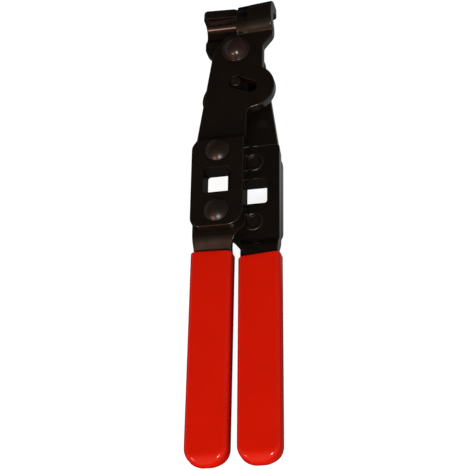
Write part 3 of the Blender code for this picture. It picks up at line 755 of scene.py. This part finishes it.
rivet_black = blackened_steel("oiled_black_oxide_on_headed_wire", dark="17110e", light="231a16",
                              roughness=0.31, mottle=3.0)
for end, y in RIVET_YS.items():
    rivet = rivet_shape(y)
    for side in HALF_TURNS:
        add_piece(side, f"{side}_{end}_rivet_wire", rivet, rivet_black, side + "_half",
                  [f"{side}_{end}_rivet"])

# Pivot rivet and its spacer: a heavy rivet headed on both sides, with its high domes on
# the jaw plates, and a turned bare steel ring that keeps the plates one sheet apart.

PIVOT_HEAD_RADIUS = 7.0
PIVOT_HEAD_HEIGHT = 5.1
PIVOT_DOME_RADIUS = 6.6
PIVOT_DOME_TURN = math.radians(68)
PIVOT_FOOT_RADIUS = 6.6
PIVOT_FLANGE = 0.75
PIVOT_FOOT = 0.95
PIVOT_CORNERS = (0.15, 0.5, 0.2)
SPACER_RADIUS = 8.5
BROKEN_EDGE = 0.3
OIL_STAIN_TONE = "4b443c"
OIL_STAIN_SPOT = 2.5
TOOL_RINGS = 0.6
WAVE_RATE = 20


def pivot_shape():
    """Both heads and the shank: a high round dome on a thin flange, and its mirror below."""
    angle = np.linspace(PIVOT_DOME_TURN, DOME_LAST_TURN, DOME_ROWS)
    drop = PIVOT_DOME_RADIUS * (1 - np.cos(angle))
    cap = np.column_stack([PIVOT_DOME_RADIUS * np.sin(angle), HEAD_FACE + PIVOT_HEAD_HEIGHT - drop])
    edge, brim, foot = PIVOT_CORNERS
    flange = rounded([
        (PIVOT_HOLE - RIVETED_SEAM, HEAD_FACE, 0),
        (PIVOT_HEAD_RADIUS, HEAD_FACE, edge),
        (PIVOT_HEAD_RADIUS, HEAD_FACE + PIVOT_FLANGE, brim),
        (PIVOT_FOOT_RADIUS, HEAD_FACE + PIVOT_FOOT, foot),
        (*cap[0], 0),
    ], closed=False)
    upper = np.concatenate([flange, cap[1:]])
    return turned_shape(np.concatenate([upper[::-1] * (1, -1), upper]))


def spacer_shape():
    """A turned ring with broken edges: its section carried round the pivot, closed on itself."""
    half = INNER_FACE - RIVETED_SEAM
    bore = PIVOT_HOLE + RIVETED_SEAM
    corners = ((SPACER_RADIUS, -half), (SPACER_RADIUS, half), (bore, half), (bore, -half))
    section = rounded([(*corner, BROKEN_EDGE) for corner in corners])
    angle = np.arange(ROUND_SEGMENTS) * math.tau / ROUND_SEGMENTS
    radius, height = section[:, 0, None], section[:, 1, None]
    points = np.stack([radius * np.cos(angle), radius * np.sin(angle), height + 0 * angle], axis=2)
    around = np.roll(points, -1, axis=1) - np.roll(points, 1, axis=1)
    over = np.roll(points, -1, axis=0) - np.roll(points, 1, axis=0)
    normals = np.cross(around, over)
    normals /= np.linalg.norm(normals, axis=2)[..., None]
    rows, columns = points.shape[:2]
    row, column = np.arange(rows)[:, None], np.arange(columns)
    next_row, next_column = (row + 1) % rows, (column + 1) % columns
    quads = np.stack([row * columns + column, row * columns + next_column,
                      next_row * columns + next_column, next_row * columns + column], 2).reshape(-1, 4)
    no_triangles = np.empty((0, 3), int)
    return points.reshape(-1, 3), normals.reshape(-1, 3), np.zeros(rows * columns), quads, no_triangles


def turned_steel(name, tone, roughness):
    """Bare turned steel: grey metal with fine rings from the lathe tool and a little oil staining."""
    look, tree, shader = new_look(name)
    place = node(tree, "ShaderNodeTexCoord").outputs["Object"]
    stain = noise(tree, place, OIL_STAIN_SPOT, detail=4.0)
    tree.links.new(mixed(tree, stain, linear(tone), linear(OIL_STAIN_TONE)), shader.inputs["Base Color"])
    inputs = {"Vector": place, "Scale": per_metre(TOOL_RINGS) / WAVE_RATE, "Distortion": 0.4}
    rings = node(tree, "ShaderNodeTexWave", inputs, wave_type="BANDS", bands_direction="Z")
    relief(tree, shader, rings.outputs["Fac"], strength=0.3, depth=GRAIN_DEPTH)
    shader.inputs["Metallic"].default_value = 1
    shader.inputs["Roughness"].default_value = roughness
    return look


bare_steel = turned_steel("bare_turned_steel", tone="8b8782", roughness=0.35)
pivot_black = blackened_steel("oiled_black_oxide_on_heavy_wire", dark="1c1412", light="2a1f1b",
                              roughness=0.22, mottle=3.0)
add_piece("lower", "pivot_rivet_wire", pivot_shape(), pivot_black, "lower_half",
          ["pivot_rivet"])
add_piece("lower", "pivot_spacer_ring", spacer_shape(), bare_steel, "lower_half",
          ["pivot_spacer"])

# Stop pin: a turned steel pin with a collar between the plates and a plain end in each
# slot. Only its blackened upper end shows, standing a little proud of the plate.

PIN_RADIUS = 2.5
PIN_COLLAR_RADIUS = 4.8
PIN_COLLAR_GAP = 0.3
PIN_TIP_ROUND = 0.5
PIN_FILLET = 0.1
PIN_PROUD = 0.8
PIN_TIP = HEAD_FACE + PIN_PROUD


def pin_shape():
    """The pin's section carried round its own axis, with broken edges at the tips and the collar."""
    collar = INNER_FACE - PIN_COLLAR_GAP
    lower = [(CAP_RADIUS, -PIN_TIP, 0), (PIN_RADIUS, -PIN_TIP, PIN_TIP_ROUND),
             (PIN_RADIUS, -collar, PIN_FILLET), (PIN_COLLAR_RADIUS, -collar, BROKEN_EDGE)]
    upper = [(radius, -height, corner) for radius, height, corner in reversed(lower)]
    return turned_shape(rounded(lower + upper, closed=False), SLOT_START)


browned_steel = blackened_steel("browned_turned_steel", dark="14100c", light="1f1813",
                                roughness=0.3, mottle=1.5)
add_piece("lower", "stop_pin_turning", pin_shape(), browned_steel, "stop", ["stop_pin"])

# Grips: the handles are dipped hot in red plastisol, which runs a little thicker
# towards the tip, hangs to a blunt round end and stops at a soft rim. The skin is
# smooth and glossy with a faint wave and fine orange peel.

GRIP_RIMS = {"upper": (-105.6, -106.2), "lower": (-108.4, -110.0)}
GRIP_X = (-20.9, -1.3)
GRIP_HALF_THICKNESS = 4.9
GRIP_CORNER = 2.8
GRIP_END_Y = -206.2
GRIP_END_RADIUS = 8.5
GRIP_END_BEVEL = 4.7
GRIP_BEVEL_REACH = 6.2
GRIP_RIM_RADIUS = 0.8
GRIP_CROWN = 0.12
GRIP_RIM_FADE = 4
POCKET_GAP = 0.02
POCKET_CORNER = 0.6
POCKET_FIRST_TURN = 0.3
CORNER_POINTS = 10
SIDE_POINTS = (8, 3)
POCKET_END_ROWS, POCKET_ROWS, RIM_ROWS, GRIP_ROWS, GRIP_END_ROWS = 8, 10, 7, 60, 24
VINYL_CLOUDS = 14.0
VINYL_PEEL = 1.8
VINYL_PEEL_DEPTH = 0.05
VINYL_ROUGHNESS = (0.11, 0.13)


def ring_pattern():
    """Round a rounded rectangle: shares of the straight reaches, and unit directions of the corner arcs."""
    shares, arcs = [], []
    corners = ((1, 1), (-1, 1), (-1, -1), (1, -1))
    for quarter, corner in enumerate(corners):
        angle = math.pi / 2 * (quarter + np.linspace(0, 1, CORNER_POINTS + 1))
        arcs.append(np.column_stack([np.cos(angle), np.sin(angle)]))
        shares.append(np.tile(corner, (len(angle), 1)))
        following = np.array(corners[(quarter + 1) % 4])
        mix = np.linspace(0, 1, SIDE_POINTS[quarter % 2] + 1)[1:-1, None]
        shares.append(np.array(corner) * (1 - mix) + following * mix)
        arcs.append(np.tile(arcs[-1][-1], (len(mix), 1)))
    return np.concatenate(shares).astype(float), np.concatenate(arcs)


def splay(y):
    """How far the handle has swung out at y."""
    return HANDLE_SPLAY * np.clip((CRANK_START_Y - y) / (CRANK_START_Y - GRIP_END_Y), 0, 1)


def grip_rows(stations):
    """Rounded rectangles, one for each (y, low x, high x, half thickness, corner radius, slant, crown)."""
    shares, arcs = ring_pattern()
    y, low, high, half, corner, slant, crown = np.array(stations, float).T[:, :, None]
    reach = (high - low) / 2
    corner = np.minimum(corner, np.minimum(reach, half))
    across = shares[:, 0] * (reach - corner) + corner * arcs[:, 0]
    up = shares[:, 1] * (half - corner) + corner * arcs[:, 1]
    up = up + crown * (1 - shares[:, 0] ** 2) * arcs[:, 1]
    x = (low + high) / 2 + across
    return np.stack([x - splay(y), y + slant * across, up], axis=2)


def round_inset(depth, radius):
    """How far a round end is drawn in at a depth from its tip."""
    rise = np.maximum(radius - depth, 0)
    return radius - np.sqrt(radius ** 2 - rise ** 2)


def grip_shape(rim):
    """The dipped coat as rows of rings: inside along the bar, over the rim and on to the closed end."""
    outer_y, inner_y = rim
    rim_y = (outer_y + inner_y) / 2
    slant = (inner_y - outer_y) / (GRIP_X[1] - GRIP_X[0])
    bar_x = (PLATE_OUTER_X - POCKET_GAP, BAR_INNER_X + POCKET_GAP)
    bar_half = SHEET / 2 + POCKET_GAP
    stations = []
    for angle in np.linspace(POCKET_FIRST_TURN, math.pi / 2, POCKET_END_ROWS):
        depth = BAR_TIP_RADIUS * (1 - math.cos(angle))
        inset = round_inset(depth, BAR_TIP_RADIUS)
        stations.append((BAR_END_Y + depth, bar_x[0] + inset, bar_x[1] - inset, bar_half, POCKET_CORNER, 0, 0))
    for y in np.linspace(BAR_END_Y + BAR_TIP_RADIUS + 1, rim_y, POCKET_ROWS):
        stations.append((y, *bar_x, bar_half, POCKET_CORNER, slant * (y == rim_y), 0))
    for angle in np.linspace(0, math.pi / 2, RIM_ROWS):
        inset = GRIP_RIM_RADIUS * (1 - math.sin(angle))
        drop = GRIP_RIM_RADIUS * (1 - math.cos(angle))
        stations.append((rim_y - drop, GRIP_X[0] + inset, GRIP_X[1] - inset, GRIP_HALF_THICKNESS - inset,
                         GRIP_CORNER - inset / 2, slant, 0))
    for y in np.linspace(rim_y - 2, GRIP_END_Y + GRIP_END_RADIUS + 1, GRIP_ROWS):
        fade = ((y - GRIP_END_Y) / (rim_y - GRIP_END_Y)) ** GRIP_RIM_FADE
        stations.append((y, *GRIP_X, GRIP_HALF_THICKNESS, GRIP_CORNER, slant * fade, GRIP_CROWN))
    for angle in np.linspace(0, math.pi / 2, GRIP_END_ROWS):
        depth = GRIP_END_RADIUS * (1 - math.sin(angle))
        inset = round_inset(depth, GRIP_END_RADIUS)
        bevel = round_inset(depth * GRIP_END_BEVEL / GRIP_BEVEL_REACH, GRIP_END_BEVEL)
        stations.append((GRIP_END_Y + depth, GRIP_X[0] + inset, GRIP_X[1] - inset,
                         GRIP_HALF_THICKNESS - bevel, GRIP_CORNER, 0, GRIP_CROWN * math.cos(angle)))
    points = grip_rows(stations)
    middle = (GRIP_X[0] + GRIP_X[1]) / 2
    pocket = ((middle, BAR_END_Y, 0), (0, 1, 0))
    tip = ((middle - HANDLE_SPLAY, GRIP_END_Y, 0), (0, -1, 0))
    return closed_grid(points, pocket, tip)


def dipped_vinyl(name, tone, shade):
    """Plastisol dip: saturated red, glossy, slightly cloudy, with orange peel a millimetre or two across."""
    look, tree, shader = new_look(name)
    place = node(tree, "ShaderNodeTexCoord").outputs["Object"]
    cloud = noise(tree, place, VINYL_CLOUDS, detail=2.0)
    tree.links.new(mixed(tree, cloud, linear(tone), linear(shade)), shader.inputs["Base Color"])
    peel = noise(tree, place, VINYL_PEEL, detail=1.0)
    relief(tree, shader, peel, strength=0.12, depth=VINYL_PEEL_DEPTH)
    tree.links.new(ranged(tree, peel, *NOISE_SPAN, *VINYL_ROUGHNESS), shader.inputs["Roughness"])
    shader.inputs["IOR"].default_value = FILM_IOR
    return look


red_dip = dipped_vinyl("dipped_red_plastisol", tone="c71604", shade="bc1403")
for side, rim in GRIP_RIMS.items():
    add_piece(side, side + "_grip_dip", grip_shape(rim), red_dip, side + "_half", [side + "_grip"])

# Studio: a white floor that keeps a soft shadow, even light all round, and for reflections
# grey walls low on the right and on the left, a brown room beyond the handles, a black
# flag overhead, and two small lamps towards the handles. Spans of the room are shares of
# the direction's X, Y or Z, and places on the floor are metres.

FLOOR_REACH = 3.0
FLOOR_GLOW = 0.86
FLOOR_SHADED_X = 0.012
FLOOR_LIT_X = 0.026
FLOOR_GLOWS = (0.05, 0.46)
FLOOR_FAR_X = (0.029, 0.036)
FLOOR_LIT_Y = 0.06
FLOOR_LIT_REACH = (0.035, 0.09)
FLOOR_LEFT_X = (-0.04, -0.15)
FLOOR_LEFT_GLOW = 0.2
FLOOR_SHADED_SHARES = (0.12, 0.1)
FLOOR_CORNERS = 64
CARD_TONE = "a0a0a0"
FLAG_TONE = "242120"
FLAG_SPAN = (0.2, 0.5)
WALL_TONE = "646060"
WALL_SPAN = (0.2, 0.8)
LEFT_TONE = "78716b"
LEFT_SPAN = (-0.25, -0.6)
ROOM_TONE = "ca9c72"
ROOM_SPAN = (-0.1, -0.85)
EVEN_SPAN = (-0.6, 1.0)
EVEN_LEVELS = (1.14, 0.78)
GRIP_MIRROR = (-0.22, 0.40, 0.89)
GRIP_MIRROR_SPAN = (0.7, 0.85)
LAMP_DISTANCE = 0.9


def floor_look():
    """White card: plain matt white, with its own light added where the camera or a reflection meets it.

    Reflections meet a painted glow on it in a narrow strip beside the plates on the right,
    a faint one far out on the left, and only a dim one elsewhere.
    """
    look, tree, shader = new_look("white_card")
    tree.nodes.remove(shader)
    path = node(tree, "ShaderNodeLightPath").outputs
    place = node(tree, "ShaderNodeTexCoord").outputs["Object"]
    spot = node(tree, "ShaderNodeSeparateXYZ", {"Vector": place}).outputs
    lit = ranged(tree, spot["X"], FLOOR_SHADED_X, FLOOR_LIT_X, *FLOOR_GLOWS)
    away = figure(tree, "ABSOLUTE", figure(tree, "SUBTRACT", spot["Y"], FLOOR_LIT_Y))
    beside = ranged(tree, away, *FLOOR_LIT_REACH, 1.0, FLOOR_SHADED_SHARES[0])
    near = ranged(tree, spot["X"], *FLOOR_FAR_X, 1.0, FLOOR_SHADED_SHARES[1])
    lit = figure(tree, "MULTIPLY", lit, figure(tree, "MULTIPLY", beside, near))
    lit = figure(tree, "MAXIMUM", lit, ranged(tree, spot["X"], *FLOOR_LEFT_X, 0.0, FLOOR_LEFT_GLOW))
    mirrored = figure(tree, "MAXIMUM", path["Is Glossy Ray"], path["Is Transmission Ray"])
    mirrored = figure(tree, "MULTIPLY", mirrored, lit)
    seen = figure(tree, "MULTIPLY", path["Is Camera Ray"], FLOOR_GLOW)
    light = node(tree, "ShaderNodeEmission", {"Strength": figure(tree, "MAXIMUM", seen, mirrored)})
    white = mixed(tree, path["Is Glossy Ray"], linear(CARD_TONE), linear("000000"))
    card = node(tree, "ShaderNodeBsdfDiffuse", {"Color": white})
    both = node(tree, "ShaderNodeAddShader", {0: card.outputs[0], 1: light.outputs[0]})
    tree.links.new(both.outputs[0], tree.nodes["Material Output"].inputs["Surface"])
    return look


def round_floor():
    """A flat disc under the tool."""
    angle = np.arange(FLOOR_CORNERS) * math.tau / FLOOR_CORNERS
    rim = np.column_stack([FLOOR_REACH * np.cos(angle), FLOOR_REACH * np.sin(angle), 0 * angle])
    mesh = bpy.data.meshes.new("white_floor")
    mesh.from_pydata(rim, [], [list(range(FLOOR_CORNERS))])
    mesh.materials.append(floor_look())
    floor = bpy.data.objects.new("white_floor", mesh)
    bpy.context.scene.collection.objects.link(floor)


def studio_world():
    """Even light for matt surfaces, a little stronger from the handles' side, while reflections see the room.

    The even light has a gap round the direction that the grips' flat tops mirror to the
    camera, where they would shine white.
    """
    world = bpy.data.worlds.new("studio")
    bpy.context.scene.world = world
    world.use_nodes = True
    tree = world.node_tree
    path = node(tree, "ShaderNodeLightPath").outputs
    direction = node(tree, "ShaderNodeTexCoord").outputs["Generated"]
    way = node(tree, "ShaderNodeSeparateXYZ", {"Vector": direction}).outputs
    room = linear(FLAG_TONE)
    for side, span, tone in (("X", WALL_SPAN, WALL_TONE), ("X", LEFT_SPAN, LEFT_TONE),
                             ("Z", FLAG_SPAN, FLAG_TONE), ("Y", ROOM_SPAN, ROOM_TONE)):
        room = mixed(tree, ranged(tree, way[side], *span), room, linear(tone))
    even = ranged(tree, way["Y"], *EVEN_SPAN, *EVEN_LEVELS)
    aim = node(tree, "ShaderNodeVectorMath", {0: direction, 1: GRIP_MIRROR}, operation="DOT_PRODUCT")
    open_sky = ranged(tree, aim.outputs["Value"], *GRIP_MIRROR_SPAN, 1.0, 0.0)
    even = figure(tree, "MULTIPLY", even, open_sky)
    fill = mixed(tree, path["Is Diffuse Ray"], room, even)
    shown = mixed(tree, path["Is Camera Ray"], fill, linear("ffffff"))
    tree.links.new(shown, tree.nodes["Background"].inputs["Color"])


def lamp(name, towards, width, watts, tint):
    """A round softbox in a direction from the middle of the tool, facing it."""
    light = bpy.data.lights.new(name, "AREA")
    light.shape = "DISK"
    light.size = width
    light.energy = watts
    light.color = linear(tint)[:3]
    held = bpy.data.objects.new(name, light)
    way = Vector(towards).normalized()
    held.location = way * LAMP_DISTANCE
    held.rotation_euler = way.to_track_quat("Z", "Y").to_euler()
    bpy.context.scene.collection.objects.link(held)


round_floor()
studio_world()
lamp("right_softbox", towards=(0.15, -0.67, 0.72), width=0.23, watts=3.1, tint="ffffff")
lamp("left_softbox", towards=(-0.45, -0.68, 0.56), width=0.21, watts=1.75, tint="ffbab4")

# Camera: a short telephoto above the handles' end, turned and tilted as the photograph's.

CAMERA_TARGET = (-0.908, -96.786, 0.0)
CAMERA_DISTANCE = 633.612
CAMERA_ROLL, CAMERA_PITCH, CAMERA_YAW = (math.radians(angle) for angle in (-0.892, 26.194, 13.346))
CAMERA_LENS = 105.82
CAMERA_SENSOR = 36

camera = bpy.data.objects.new("camera", bpy.data.cameras.new("camera"))
bpy.context.scene.collection.objects.link(camera)
facing = (Matrix.Rotation(CAMERA_ROLL, 3, "Z") @ Matrix.Rotation(-CAMERA_PITCH, 3, "X")
          @ Matrix.Rotation(-CAMERA_YAW, 3, "Y")).inverted()
eye = Vector(CAMERA_TARGET) + facing @ Vector((0, 0, CAMERA_DISTANCE))
camera.matrix_world = Matrix.Translation(eye * MM + Vector(PIVOT)) @ facing.to_4x4()
camera.data.sensor_width = CAMERA_SENSOR
camera.data.lens = CAMERA_LENS
bpy.context.scene.camera = camera
bpy.context.scene.view_settings.view_transform = "Standard"
